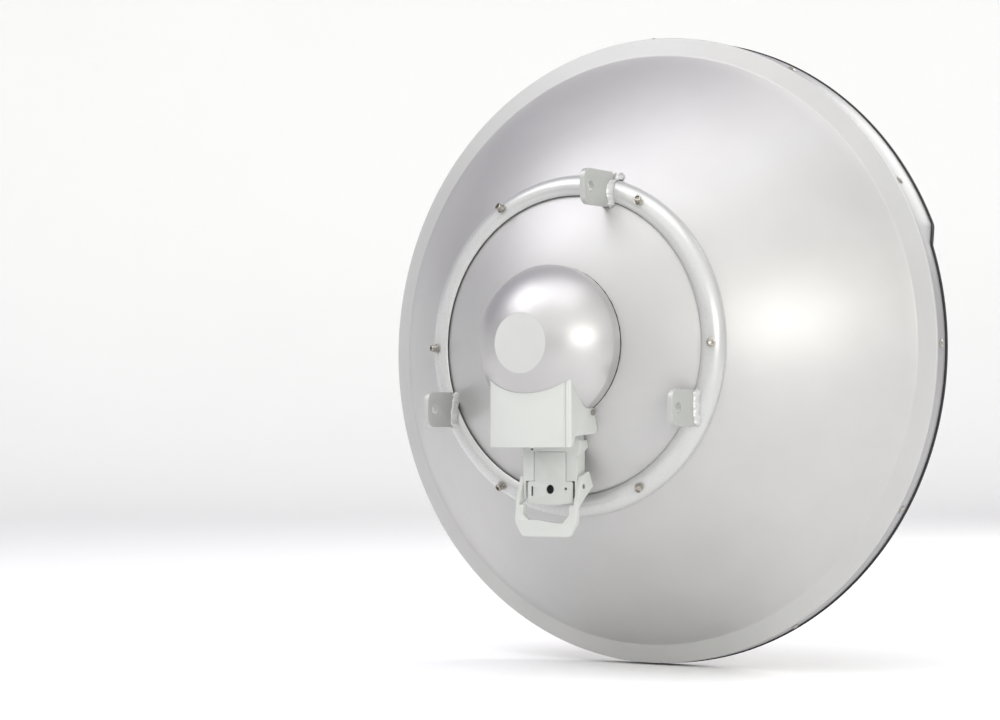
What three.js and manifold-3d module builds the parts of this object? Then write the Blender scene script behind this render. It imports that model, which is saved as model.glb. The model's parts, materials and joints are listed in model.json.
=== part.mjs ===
// Outdoor wireless bridge: a 650 mm parabolic dish with its radome, a welded-ear mounting ring,
// a domed radio hub and a neck that holds the network port behind a sliding door and a bail handle.
//
// Millimetres, +Z up. The dish axis is Y: the radome faces -Y, and the hub stands on the +Y side.
// The origin is on the dish axis, in the plane of the three ear holes that carry the dish.
// Left and right are as seen from behind, so left is +X.

import * as THREE from 'three';
import { mergeVertices } from 'three/addons/utils/BufferGeometryUtils.js';
import Module from 'manifold-3d';

const wasm = await Module();
wasm.setup();

// ---------------------------------------------------------------- driving dimensions

const GAP = 0.3; // air between two pieces that would touch
const WELD = 1e-4; // vertices closer than this are one vertex

const RIM_R = 325; // outer radius of the dish at its folded rim
const RIM_Y = -190; // plane of the folded rim
const FLANGE_R = 306; // where the parabola meets the conical flange
const FLANGE_Y = -185;
const FOCAL = 122; // focal length of the reflector
const SHEET = 2; // wall of the spun reflector
const VERTEX_Y = FLANGE_Y + (FLANGE_R * FLANGE_R) / (4 * FOCAL);
const FEED_HOLE_R = 15.4;
const TURNS = 60; // facets round the large turned pieces
const DEG = Math.PI / 180;

const LIP_R = 323.1; // outer radius of the reflector's lip, inside the band
const LIP_FRONT_Y = -206;

const BAND_INNER_R = LIP_R + GAP;
const BAND_BACK_Y = -192.2;
const BAND_LOW_EDGE_Y = -212; // front edge of the band round the lower part
const BAND_HOOD_EDGE_Y = -232.5; // front edge of the rain hood over the top
const STEP_LOW_Z = 97.7; // the hood's oblique step starts here
const STEP_HIGH_Z = 119.1; // and reaches full depth here
const TRIM_COVER = 3.4; // how far the edge trim reaches back over the band
const TRIM_NOSE = 2; // how far it stands out in front of the metal edge
const TRIM_INNER_R = 322.2;
const TRIM_OUTER_R = 326.2;

const RIVET_COUNT = 12;
const RIVET_Y = -199.5;
const RIVET_R = 2;
const RIVET_HEAD_R = 4;
const RIVET_HOLE_R = 2.4;

const RADOME_R = 315.5;
const RADOME_EDGE_Y = -205;
const RADOME_CROWN = 9;
const RADOME_WALL = 2.5;
const RADOME_RETURN = 8; // depth of the rim that turns back into the gasket

const RING_R = 157.5; // middle of the mounting ring's section
const RING_HALF = 12.2; // half width of its arched section, along the dish surface
const RING_HEIGHT = 9.85;
const RING_SHEET = 2.5;
const RING_SCREW_COUNT = 6;
const RING_SCREW_R = 154.5; // where the screw axes cross the dish surface
const RING_SCREW_SHANK_R = 2.5;
const RING_SCREW_HEAD_R = 3.6;
const RING_SCREW_SOCKET_R = 2.2;
const RING_SCREW_SOCKET_DEPTH = 2.5;
const WASHER_R = 4.7;
const WASHER_THICK = 1;
const RING_SCREW_HEAD_BASE = 10.3; // above the dish surface
const RING_SCREW_HEAD_TOP = 16.6;
const RING_SCREW_REACH = 7; // below the dish surface
const RING_SCREW_HOLE_R = 2.9;

const EAR_WALL = 5.5;
const EAR_TALL = 35;
const EAR_BACK_Y = 12;
const EAR_BASE_Y = -40;
const EAR_CORNER_R = 10;
const EAR_HOLE_R = 5.25;
const EARS = [
  { name: 'ear_left', x: 140.7, z: -62.5 },
  { name: 'ear_right', x: -140.7, z: -62.5 },
  { name: 'ear_top', x: -44, z: 152 },
];

const HUB_R = 77.5;
const HUB_WALL = 2.5;
const HUB_BASE_Y = -3.4;
const HUB_SHOULDER_Y = 7.5; // top of the cylindrical skirt
const HUB_FLAT_Y = 54; // flat disc on the crown
const HUB_FLAT_R = 29;
const HUB_TURNS = 36;
const HUB_PLATE_TOP = 10;
const HUB_PLATE_CHAMFER = 3.5; // down the edge, to clear the dome
const HUB_SCREW_COUNT = 4;
const HUB_SCREW_R = 58;

const NECK_HALF = 46.5;
const NECK_WALL = 2.5;
const NECK_EDGE_Y = 37; // back face at the two upright edges
const NECK_BULGE_Y = 44.5; // back face in the middle
const NECK_BOTTOM_Z = -100;
const NECK_TOP_Z = -20; // hidden inside the hub's outline
const NECK_SCREW_Y = -1.5;
const NECK_SCREW_Z = -66.5;

const PANEL_HALF = 43.6;
const PANEL_TOP_Z = -84;
const PANEL_BOTTOM_Z = -86.5;
const PANEL_BACK_Y = 33;

const BAY_HALF = 31;
const BAY_WALL = 2.5;
const BAY_FRONT_Y = -12.6;
const BAY_FACE_Y = 1.7;
const BAY_PLATE = 1.5; // wall of its back plate and of the door
const BAY_TOP_Z = PANEL_BOTTOM_Z - GAP;
const BAY_BOTTOM_Z = -150;
const SLOT_TOP_Z = -104.3; // the door's slot in the back plate
const SLOT_BOTTOM_Z = -132.7;
const SLOT_HALF = 18.8;
const FIN_OUTER = 33.5;

const DOOR_TONGUE_HALF = SLOT_HALF - GAP;
const DOOR_BASE_HALF = 26;
const DOOR_BOTTOM_Z = -156.6;
const DOOR_HOLE_Z = -140.8;
const DOOR_HOLE_R = 4.5;

const HANDLE_HALF = 35.3;
const HANDLE_INNER = 26.5;
const HANDLE_LOBE_INNER = 31.4;
const HANDLE_BACK_Y = 10;
const HANDLE_FRONT_Y = 4.6;
const GRIP_TOP_Z = -172.2;
const GRIP_BOTTOM_Z = -186.8;
const PIVOT_Y = -4;
const PIVOT_Z = -138;
const PIN_R = 2.2;
const PIN_HOLE_R = PIN_R + GAP;

const JACK_HALF = 8;
const JACK_FRONT_Y = -9.8;
const JACK_BACK_Y = -0.1;
const JACK_MOUTH_Z = -104;
const JACK_WALL = 1.5;
const JACK_DEPTH = 11;

const RESET_X = -14;
const RESET_Y = 12;
const RESET_R = 1.8;

const TUBE_R = 15;
const TUBE_BORE_R = 13;
const TUBE_FRONT_Y = -92;
const TUBE_BACK_Y = 13;
const CONE_FRONT_Y = -111;
const SPLASH_R = 34;

// ---------------------------------------------------------------- materials

function finish(color, roughness, metalness) {
  return new THREE.MeshStandardMaterial({ color, roughness, metalness });
}

const dishPaint = finish(0xc9c9ce, 0.36, 0.55);
const bandPaint = finish(0xa9abae, 0.45, 0.4);
const ringPaint = finish(0xdadcdc, 0.3, 0.35);
const earPaint = finish(0xb9bcbc, 0.4, 0.4);
const radomePlastic = finish(0xc8c7c1, 0.55, 0);
const blackRubber = finish(0x1b1b1b, 0.8, 0);
const hubPaint = finish(0xc6c7ca, 0.34, 0.5);
const whitePlastic = finish(0xdfe1de, 0.5, 0);
const stainless = finish(0xb7b5b0, 0.25, 1);
const aluminium = finish(0xbfc1c4, 0.4, 1);
const jackMetal = finish(0xaeb0b2, 0.35, 1);
const boardGreen = finish(0x1d5a38, 0.6, 0);
const feedPlastic = finish(0xe6e4dc, 0.5, 0);

// ---------------------------------------------------------------- solids

/** The closed solid inside a three.js geometry, ready to be cut or joined. */
function toSolid(geometry) {
  const bare = geometry.clone();
  bare.deleteAttribute('normal');
  bare.deleteAttribute('uv');
  const welded = mergeVertices(bare, WELD);
  const index = welded.index.array;
  const triangles = [];
  for (let i = 0; i < index.length; i += 3) {
    const [a, b, c] = [index[i], index[i + 1], index[i + 2]];
    if (a !== b && b !== c && c !== a) triangles.push(a, b, c);
  }
  const mesh = new wasm.Mesh({
    numProp: 3,
    vertProperties: new Float32Array(welded.attributes.position.array),
    triVerts: new Uint32Array(triangles),
  });
  return new wasm.Manifold(mesh);
}

function toGeometry(solid) {
  const mesh = solid.getMesh();
  const geometry = new THREE.BufferGeometry();
  geometry.setAttribute('position', new THREE.BufferAttribute(mesh.vertProperties, 3));
  geometry.setIndex(new THREE.BufferAttribute(mesh.triVerts, 1));
  geometry.computeVertexNormals();
  return geometry;
}

/** A piece turned about the Y axis from a closed [radius, y] outline, in either direction. */
function turned(outline, segments) {
  const points = outline.map(([radius, y]) => new THREE.Vector2(radius, y));
  if (THREE.ShapeUtils.area(points) < 0) points.reverse();
  const onAxis = points.findIndex((p, i) => p.x === 0 && points[(i + 1) % points.length].x === 0);
  if (onAxis >= 0) {
    // the run along the axis is left open, because the outline starts and ends there
    const start = (onAxis + 1) % points.length;
    return new THREE.LatheGeometry([...points.slice(start), ...points.slice(0, start)], segments);
  }
  return new THREE.LatheGeometry([...points, points[0].clone()], segments);
}

function outlineShape(points) {
  return new THREE.Shape(points.map(([u, v]) => new THREE.Vector2(u, v)));
}

const TURN_TO_X = new THREE.Matrix4().set(0, 0, 1, 0, 1, 0, 0, 0, 0, 1, 0, 0, 0, 0, 0, 1);
const TURN_TO_Y = new THREE.Matrix4().set(0, 1, 0, 0, 0, 0, 1, 0, 1, 0, 0, 0, 0, 0, 0, 1);

/** A (y, z) shape carried along X from x0 to x1. */
function alongX(shape, x0, x1, curveSegments = 6) {
  const depth = x1 - x0;
  const geometry = new THREE.ExtrudeGeometry(shape, { depth, bevelEnabled: false, curveSegments });
  return geometry.translate(0, 0, x0).applyMatrix4(TURN_TO_X);
}

/** A (z, x) shape carried along Y from y0 to y1. */
function alongY(shape, y0, y1, curveSegments = 6) {
  const depth = y1 - y0;
  const geometry = new THREE.ExtrudeGeometry(shape, { depth, bevelEnabled: false, curveSegments });
  return geometry.translate(0, 0, y0).applyMatrix4(TURN_TO_Y);
}

/** An (x, y) shape carried along Z from z0 to z1. */
function alongZ(shape, z0, z1, curveSegments = 6) {
  const depth = z1 - z0;
  const geometry = new THREE.ExtrudeGeometry(shape, { depth, bevelEnabled: false, curveSegments });
  return geometry.translate(0, 0, z0);
}

function block(x0, x1, y0, y1, z0, z1) {
  const geometry = new THREE.BoxGeometry(x1 - x0, y1 - y0, z1 - z0);
  return geometry.translate((x0 + x1) / 2, (y0 + y1) / 2, (z0 + z1) / 2);
}

/** A straight rod from one point to another. */
function rod(radius, from, to, sides = 12) {
  const along = to.clone().sub(from);
  const geometry = new THREE.CylinderGeometry(radius, radius, along.length(), sides);
  const turn = new THREE.Quaternion().setFromUnitVectors(Y_AXIS, along.clone().normalize());
  const middle = from.clone().add(to).multiplyScalar(0.5);
  return geometry.applyQuaternion(turn).translate(middle.x, middle.y, middle.z);
}

const X_AXIS = new THREE.Vector3(1, 0, 0);
const Y_AXIS = new THREE.Vector3(0, 1, 0);

function cut(geometry, ...tools) {
  return tools.reduce((solid, tool) => solid.subtract(toSolid(tool)), toSolid(geometry));
}

// ---------------------------------------------------------------- the model

const model = new THREE.Group();
model.name = 'outdoor_wireless_bridge';

function add(name, shape, material) {
  const geometry = shape.isBufferGeometry ? shape : toGeometry(shape);
  const mesh = new THREE.Mesh(geometry, material);
  mesh.name = name;
  model.add(mesh);
  return mesh;
}

/** Puts a mesh drawn along its own +Y at a point, with that axis turned to a direction. */
function aim(mesh, position, direction) {
  mesh.position.copy(position);
  mesh.quaternion.setFromUnitVectors(Y_AXIS, direction.clone().normalize());
}

// ---------------------------------------------------------------- the dish surface

/** Height of the reflector's back surface at a radius. */
function dishY(radius) {
  return VERTEX_Y - (radius * radius) / (4 * FOCAL);
}

/** The point that stands a given height above the back surface, along its normal. */
function aboveDish(radius, height) {
  const slope = Math.atan(radius / (2 * FOCAL));
  return [radius + height * Math.sin(slope), dishY(radius) + height * Math.cos(slope)];
}

/** The same point as a vector, at an angle round the dish axis, counted from +X towards +Z. */
function roundDish(radius, height, angle) {
  const [r, y] = aboveDish(radius, height);
  return new THREE.Vector3(r * Math.cos(angle), y, r * Math.sin(angle));
}

function dishNormal(radius, angle) {
  return roundDish(radius, 1, angle).sub(roundDish(radius, 0, angle));
}

function dishRun(from, to, steps, height) {
  return Array.from({ length: steps + 1 }, (_, i) => aboveDish(from + ((to - from) * i) / steps, height));
}

/** Everything on the front side of the dish's back surface, plus a margin: it trims what rests there. */
function belowDish(margin) {
  const surface = dishRun(0, FLANGE_R, 18, margin);
  surface[0][0] = 0;
  return turned([[0, RIM_Y - 60], ...surface, [RIM_R, RIM_Y - 60]], TURNS);
}

const dishTool = toSolid(belowDish(0.5));

// ---------------------------------------------------------------- reflector, band and trim

function everyAngle(count, use) {
  for (let i = 0; i < count; i += 1) use((2 * Math.PI * i) / count, i + 1);
}

function radial(radius, y, angle) {
  return new THREE.Vector3(radius * Math.cos(angle), y, radius * Math.sin(angle));
}

function rivetHoles() {
  const holes = [];
  everyAngle(RIVET_COUNT, (angle) => {
    holes.push(rod(RIVET_HOLE_R, radial(318, RIVET_Y, angle), radial(330, RIVET_Y, angle), 8));
  });
  return holes;
}

function hubScrewPlace(angle, y) {
  return radial(HUB_SCREW_R, y, angle + Math.PI / HUB_SCREW_COUNT);
}

function reflectorDish() {
  const back = dishRun(FEED_HOLE_R, FLANGE_R, 10, 0);
  const front = dishRun(FEED_HOLE_R, FLANGE_R, 7, -SHEET);
  front[0][0] = FEED_HOLE_R;
  const rim = [
    [RIM_R, RIM_Y],
    [RIM_R, RIM_Y - 1.6],
    [LIP_R, RIM_Y - 2.2],
    [LIP_R, LIP_FRONT_Y],
    [LIP_R - SHEET, LIP_FRONT_Y],
    [LIP_R - SHEET, RIM_Y - 1.5],
  ];
  const shell = turned([...back, ...rim, ...front.reverse()], TURNS);
  const holes = rivetHoles();
  everyAngle(RING_SCREW_COUNT, (angle) => {
    const from = roundDish(RING_SCREW_R, 3, angle);
    holes.push(rod(RING_SCREW_HOLE_R, from, roundDish(RING_SCREW_R, -5, angle), 8));
  });
  everyAngle(HUB_SCREW_COUNT, (angle) => {
    holes.push(rod(RIVET_HOLE_R, hubScrewPlace(angle, -9), hubScrewPlace(angle, 5), 8));
  });
  return cut(shell, ...holes);
}

/** The band's front edge as (y, z) points, moved back along Y and square to the oblique step. */
function bandEdge(offset) {
  const shift = offset * Math.tan((45 * DEG) / 2);
  return [
    [BAND_LOW_EDGE_Y + offset, -400],
    [BAND_LOW_EDGE_Y + offset, STEP_LOW_Z + shift],
    [BAND_HOOD_EDGE_Y + offset, STEP_HIGH_Z + shift],
    [BAND_HOOD_EDGE_Y + offset, 400],
  ];
}

function sleeve(inner, outer, front, back) {
  return turned([[inner, front], [outer, front], [outer, back], [inner, back]], TURNS);
}

function behindEdge(offset) {
  return toSolid(alongX(outlineShape([...bandEdge(offset), [-150, 400], [-150, -400]]), -400, 400));
}

function rimBand() {
  const whole = toSolid(sleeve(BAND_INNER_R, RIM_R, BAND_HOOD_EDGE_Y, BAND_BACK_Y));
  const stepped = whole.intersect(behindEdge(0));
  return rivetHoles().reduce((solid, hole) => solid.subtract(toSolid(hole)), stepped);
}

function rimEdgeTrim() {
  const front = BAND_HOOD_EDGE_Y - TRIM_NOSE;
  const whole = toSolid(sleeve(TRIM_INNER_R, TRIM_OUTER_R, front, BAND_LOW_EDGE_Y + TRIM_COVER));
  const strip = behindEdge(-TRIM_NOSE).subtract(behindEdge(TRIM_COVER));
  const groove = toSolid(sleeve(BAND_INNER_R - GAP, RIM_R + GAP, front - 5, BAND_BACK_Y));
  return whole.intersect(strip).subtract(groove.intersect(behindEdge(-GAP)));
}

/** A domed rivet whose shank runs inwards from the origin along -Y. */
function rivet() {
  return turned([[0, -5.8], [RIVET_R, -5.8], [RIVET_R, 0], [RIVET_HEAD_R, 0], [2.6, 1.3], [0, 1.7]], 8);
}

add('reflector_dish', reflectorDish(), dishPaint);
add('rim_band', rimBand(), bandPaint);
add('rim_edge_trim', rimEdgeTrim(), blackRubber);
everyAngle(RIVET_COUNT, (angle, number) => {
  const mesh = add(`rim_rivet_${String(number).padStart(2, '0')}`, rivet(), stainless);
  aim(mesh, radial(RIM_R + GAP, RIVET_Y, angle), radial(1, 0, angle));
});

// ---------------------------------------------------------------- radome and its gasket

function radomeSkin() {
  const steps = 3;
  const flatR = RADOME_R - 3;
  const crown = (wall) => Array.from({ length: steps + 1 }, (_, i) => {
    const r = (flatR * i) / steps;
    return [r, RADOME_EDGE_Y - 1.5 - RADOME_CROWN * (1 - (r / flatR) ** 2) + wall];
  });
  const backY = RADOME_EDGE_Y + RADOME_RETURN;
  const rim = [[RADOME_R, RADOME_EDGE_Y], [RADOME_R, backY], [RADOME_R - RADOME_WALL, backY]];
  const inside = crown(RADOME_WALL).reverse();
  inside[0][0] = RADOME_R - RADOME_WALL;
  return turned([...crown(0), ...rim, ...inside], TURNS);
}

function radomeGasket() {
  return sleeve(RADOME_R + GAP, RADOME_R + 3.7, RADOME_EDGE_Y + 1, RADOME_EDGE_Y + RADOME_RETURN + 1);
}

add('radome', radomeSkin(), radomePlastic);
add('radome_gasket', radomeGasket(), blackRubber);

// ---------------------------------------------------------------- mounting ring and its screws

/** A point of the ring's section: along the dish surface, then above it. */
function ringPoint(along, above) {
  const slope = Math.atan(RING_R / (2 * FOCAL));
  const radius = RING_R + along * Math.cos(slope) + above * Math.sin(slope);
  return [radius, dishY(RING_R) - along * Math.sin(slope) + above * Math.cos(slope)];
}

function ringArc(grow, fromAngle, toAngle, steps) {
  return Array.from({ length: steps + 1 }, (_, i) => {
    const angle = fromAngle + ((toAngle - fromAngle) * i) / steps;
    return ringPoint((RING_HALF + grow) * Math.cos(angle), (RING_HEIGHT + grow) * Math.sin(angle));
  });
}

/** The arch's outer foot rests on the dish; its inner foot stands a little clear of it. */
function mountingRing() {
  const outside = ringArc(0, 4 * DEG, 171 * DEG, 7);
  const inside = ringArc(-RING_SHEET, 5 * DEG, 169 * DEG, 4);
  const holes = [];
  everyAngle(RING_SCREW_COUNT, (angle) => {
    const from = roundDish(RING_SCREW_R, 4, angle);
    holes.push(rod(RING_SCREW_HOLE_R, from, roundDish(RING_SCREW_R, 13, angle), 8));
  });
  return cut(turned([...outside, ...inside.reverse()], TURNS), ...holes);
}

/** The ring's outside with a margin, filled down into the dish: it trims the ears' feet. */
function belowRing() {
  const grow = GAP + 0.05;
  const arch = ringArc(grow, 0, 180 * DEG, 10);
  return turned([...arch, ringPoint(-RING_HALF - grow, -20), ringPoint(RING_HALF + grow, -20)], TURNS);
}

/** A socket-head screw along +Y, with its origin on the dish surface. */
function ringScrew() {
  const base = RING_SCREW_HEAD_BASE;
  const top = RING_SCREW_HEAD_TOP;
  return turned([
    [0, -RING_SCREW_REACH], [RING_SCREW_SHANK_R, -RING_SCREW_REACH], [RING_SCREW_SHANK_R, base],
    [WASHER_R, base], [WASHER_R, base + WASHER_THICK], [RING_SCREW_HEAD_R, base + WASHER_THICK],
    [RING_SCREW_HEAD_R, top], [RING_SCREW_SOCKET_R, top],
    [RING_SCREW_SOCKET_R, top - RING_SCREW_SOCKET_DEPTH], [0, top - RING_SCREW_SOCKET_DEPTH],
  ], 8);
}

add('mounting_ring', mountingRing(), ringPaint);
everyAngle(RING_SCREW_COUNT, (angle, number) => {
  const mesh = add(`ring_screw_${number}`, ringScrew(), stainless);
  aim(mesh, roundDish(RING_SCREW_R, 0, angle), dishNormal(RING_SCREW_R, angle));
});

// ---------------------------------------------------------------- ears

/** The plate's outline about its hole: square at the ring, rounded behind. */
function earShape() {
  const half = EAR_TALL / 2;
  const r = EAR_CORNER_R;
  const shape = new THREE.Shape();
  shape.moveTo(EAR_BASE_Y, -half);
  shape.lineTo(EAR_BACK_Y - r, -half);
  shape.absarc(EAR_BACK_Y - r, -half + r, r, -90 * DEG, 0, false);
  shape.absarc(EAR_BACK_Y - r, half - r, r, 0, 90 * DEG, false);
  shape.lineTo(EAR_BASE_Y, half);
  const hole = new THREE.Path();
  hole.absarc(0, 0, EAR_HOLE_R, 0, 2 * Math.PI, true);
  shape.holes.push(hole);
  return shape;
}

const ringTool = toSolid(belowRing());
for (const { name, x, z } of EARS) {
  const plate = alongX(earShape(), x - EAR_WALL / 2, x + EAR_WALL / 2, 8).translate(0, 0, z);
  add(name, toSolid(plate).subtract(ringTool).subtract(dishTool), earPaint);
}

// ---------------------------------------------------------------- hub

/** The dome's centre on the axis, so that its sphere meets both the skirt and the flat disc. */
const DOME_CENTRE_Y = (
  (HUB_FLAT_Y ** 2 + HUB_FLAT_R ** 2 - HUB_SHOULDER_Y ** 2 - HUB_R ** 2)
  / (2 * (HUB_FLAT_Y - HUB_SHOULDER_Y))
);
const DOME_R = Math.hypot(HUB_R, HUB_SHOULDER_Y - DOME_CENTRE_Y);

function domeArc(grow, steps) {
  const radius = DOME_R + grow;
  const flatY = HUB_FLAT_Y + grow;
  const skirtR = HUB_R + grow;
  const from = Math.acos(skirtR / radius);
  const to = Math.asin((flatY - DOME_CENTRE_Y) / radius);
  return Array.from({ length: steps + 1 }, (_, i) => {
    const angle = from + ((to - from) * i) / steps;
    return [radius * Math.cos(angle), DOME_CENTRE_Y + radius * Math.sin(angle)];
  });
}

function hubHousing() {
  const outside = domeArc(0, 6);
  const inside = domeArc(-HUB_WALL, 4);
  return turned([
    [HUB_R, HUB_BASE_Y], ...outside, [0, HUB_FLAT_Y],
    [0, HUB_FLAT_Y - HUB_WALL], ...inside.reverse(), [HUB_R - HUB_WALL, HUB_BASE_Y],
  ], HUB_TURNS);
}

/** The hub's filled outline with a margin: it trims the neck. */
function insideHub(margin) {
  return turned([
    [0, -40], [HUB_R + margin, -40], ...domeArc(margin, 12), [0, HUB_FLAT_Y + margin],
  ], HUB_TURNS);
}

function hubGasket() {
  const outer = HUB_R - 0.1;
  const inner = HUB_R - HUB_WALL;
  const top = HUB_BASE_Y - GAP;
  const foot = GAP + 0.05;
  return turned([[inner, dishY(inner) + foot], [outer, dishY(outer) + foot], [outer, top], [inner, top]],
    HUB_TURNS);
}

/** Cast plate that closes the hub and spreads the radio's heat into the dish. */
function hubPlate() {
  const edge = HUB_R - HUB_WALL - 0.5;
  const under = dishRun(TUBE_R + GAP + 0.1, edge - 0.2, 3, GAP + 0.1);
  const plate = turned([
    ...under, [edge, HUB_PLATE_TOP - HUB_PLATE_CHAMFER], [edge - 2, HUB_PLATE_TOP],
    [under[0][0], HUB_PLATE_TOP],
  ], HUB_TURNS);
  const holes = [];
  everyAngle(HUB_SCREW_COUNT, (angle) => {
    holes.push(rod(RIVET_HOLE_R, hubScrewPlace(angle, -9), hubScrewPlace(angle, 14), 8));
  });
  return cut(plate, ...holes);
}

/** Pan-head screw along +Y, its head in the bowl of the dish. */
function hubScrew() {
  return turned([[0, -3.2], [3.4, -3.2], [3.4, 0], [2, 0], [2, 11], [0, 11]], 8);
}

add('hub_housing', hubHousing(), hubPaint);
add('hub_gasket', hubGasket(), blackRubber);
add('hub_plate', hubPlate(), aluminium);
everyAngle(HUB_SCREW_COUNT, (angle, number) => {
  const mesh = add(`hub_screw_${number}`, hubScrew(), stainless);
  mesh.position.copy(hubScrewPlace(angle, dishY(HUB_SCREW_R) - SHEET - 1.7));
});

function radioBoard() {
  return turned([[TUBE_R + 4, 20], [66, 20], [66, 21.6], [TUBE_R + 4, 21.6]], 24);
}

function boardShield() {
  return block(-30, 30, 22, 29, -30, 30);
}

add('radio_board', radioBoard(), boardGreen);
add('board_shield', boardShield(), jackMetal);
everyAngle(3, (angle, number) => {
  const post = new THREE.CylinderGeometry(3, 3, 9.3, 8);
  add(`board_post_${number}`, post, aluminium).position.copy(radial(52, 15, angle + 90 * DEG));
});

// ---------------------------------------------------------------- feed

add('feed_tube', turned([
  [TUBE_BORE_R, TUBE_FRONT_Y], [TUBE_R, TUBE_FRONT_Y], [TUBE_R, TUBE_BACK_Y], [TUBE_BORE_R, TUBE_BACK_Y],
], 24), aluminium);
add('feed_transition', turned([
  [0, TUBE_BACK_Y + GAP], [17, TUBE_BACK_Y + GAP], [17, 19.6], [0, 19.6],
], 16), aluminium);
add('feed_collar', turned([
  [TUBE_R + GAP, -8], [19, -8], [26, -1], [26, 1.6], [TUBE_R + GAP, 1.6],
], 24), aluminium);
add('feed_cone', turned([
  [0, TUBE_FRONT_Y - GAP], [TUBE_R, TUBE_FRONT_Y - GAP], [SPLASH_R - 3, CONE_FRONT_Y], [0, CONE_FRONT_Y],
], 24), feedPlastic);
add('sub_reflector', turned([
  [0, CONE_FRONT_Y - GAP], [SPLASH_R, CONE_FRONT_Y - GAP],
  [SPLASH_R, CONE_FRONT_Y - 3], [0, CONE_FRONT_Y - 6],
], 24), aluminium);

// ---------------------------------------------------------------- neck

/** The neck seen from below: straight sides and a bulging back. */
function neckPlan(inset) {
  const half = NECK_HALF - inset;
  const bulge = NECK_BULGE_Y - NECK_EDGE_Y;
  const arcR = (NECK_HALF ** 2 + bulge ** 2) / (2 * bulge);
  const centreY = NECK_BULGE_Y - arcR;
  const swing = Math.asin(half / (arcR - inset));
  const shape = new THREE.Shape();
  shape.moveTo(-half, -30);
  shape.lineTo(half, -30);
  shape.absarc(0, centreY, arcR - inset, 90 * DEG - swing, 90 * DEG + swing, false);
  return shape;
}

/** The neck seen from the side: its back wall hangs lower than its sides, as a drip skirt. */
function neckSide() {
  return outlineShape([
    [60, NECK_TOP_Z], [60, NECK_BOTTOM_Z], [33, NECK_BOTTOM_Z], [28.5, -89.1], [-3.7, -86.7],
    [-8.4, -80.6], [-20, -68], [-20, NECK_TOP_Z],
  ]);
}

function neckScrewHole(side) {
  const reach = (x) => new THREE.Vector3(side * x, NECK_SCREW_Y, NECK_SCREW_Z);
  return toSolid(rod(1.7, reach(42), reach(50), 8));
}

function neckHousing() {
  const outside = toSolid(alongZ(neckPlan(0), NECK_BOTTOM_Z - 5, NECK_TOP_Z, 8));
  const inside = toSolid(alongZ(neckPlan(NECK_WALL), NECK_BOTTOM_Z - 9, NECK_TOP_Z + 5, 8));
  const walls = outside.intersect(toSolid(alongX(neckSide(), -60, 60))).subtract(inside);
  const trimmed = walls.subtract(toSolid(insideHub(GAP))).subtract(dishTool);
  return trimmed.subtract(neckScrewHole(1)).subtract(neckScrewHole(-1));
}

function neckScrew() {
  return turned([[0, -4.5], [1.4, -4.5], [1.4, 0], [3, 0], [2.6, 1.6], [0, 1.6]], 8);
}

function portPanel() {
  const plate = block(-PANEL_HALF, PANEL_HALF, -20, PANEL_BACK_Y, PANEL_BOTTOM_Z, PANEL_TOP_Z);
  const bore = (z) => new THREE.Vector3(RESET_X, RESET_Y, z);
  const hole = toSolid(rod(RESET_R + GAP + 0.1, bore(-90), bore(-80), 8));
  return toSolid(plate).subtract(dishTool).subtract(hole);
}

add('neck_housing', neckHousing(), whitePlastic);
for (const [name, side] of [['neck_screw_left', 1], ['neck_screw_right', -1]]) {
  const place = new THREE.Vector3(side * (NECK_HALF + GAP), NECK_SCREW_Y, NECK_SCREW_Z);
  aim(add(name, neckScrew(), stainless), place, X_AXIS.clone().multiplyScalar(side));
}
add('port_panel', portPanel(), whitePlastic);

// ---------------------------------------------------------------- port bay, jack and reset button

function mirroredX(make) {
  return make(1).add(make(-1));
}

function span(side, from, to) {
  return [Math.min(side * from, side * to), Math.max(side * from, side * to)];
}

/** The pivot pin's hole through a wall on one side. */
function pinHole(side) {
  const at = (x) => new THREE.Vector3(side * x, PIVOT_Y, PIVOT_Z);
  return toSolid(rod(PIN_HOLE_R, at(24), at(40), 12));
}

/** Side fin that guides the handle's lobes, seen from the side. */
function finShape() {
  return outlineShape([
    [BAY_FACE_Y, -93.1], [-14.6, -93.1], [-16.3, -99.9], [0, -108.5], [BAY_FACE_Y, -108.5],
  ]);
}

/** Channel for the plug: floor towards the dish, two walls, and a back plate with the door's slot. */
function portBay() {
  const innerFace = BAY_FACE_Y - BAY_PLATE;
  const inner = BAY_HALF - BAY_WALL;
  const floorBack = BAY_FRONT_Y + 2;
  const floor = toSolid(block(-BAY_HALF, BAY_HALF, BAY_FRONT_Y, floorBack, BAY_BOTTOM_Z, BAY_TOP_Z));
  const bridge = toSolid(block(-BAY_HALF, BAY_HALF, innerFace, BAY_FACE_Y, SLOT_TOP_Z, -93.1));
  const sides = mirroredX((side) => {
    const [wall0, wall1] = span(side, inner, BAY_HALF);
    const [plate0, plate1] = span(side, SLOT_HALF, BAY_HALF);
    const [lip0, lip1] = span(side, SLOT_HALF - 2.3, inner + 1);
    const wall = toSolid(block(wall0, wall1, BAY_FRONT_Y, BAY_FACE_Y, BAY_BOTTOM_Z, BAY_TOP_Z));
    const plate = toSolid(block(plate0, plate1, innerFace, BAY_FACE_Y, SLOT_BOTTOM_Z, SLOT_TOP_Z + 1));
    const lip = toSolid(block(lip0, lip1, innerFace - 1.5, innerFace - GAP, SLOT_BOTTOM_Z, SLOT_TOP_Z + 1));
    const joint = toSolid(
      block(plate0, plate1, innerFace - 1, innerFace + 1, SLOT_BOTTOM_Z, SLOT_TOP_Z + 1),
    );
    const [fin0, fin1] = span(side, BAY_HALF - 1, FIN_OUTER);
    return wall.add(plate).add(lip).add(joint).add(toSolid(alongX(finShape(), fin0, fin1)));
  });
  return floor.add(bridge).add(sides).subtract(dishTool).subtract(pinHole(1)).subtract(pinHole(-1));
}

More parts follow.
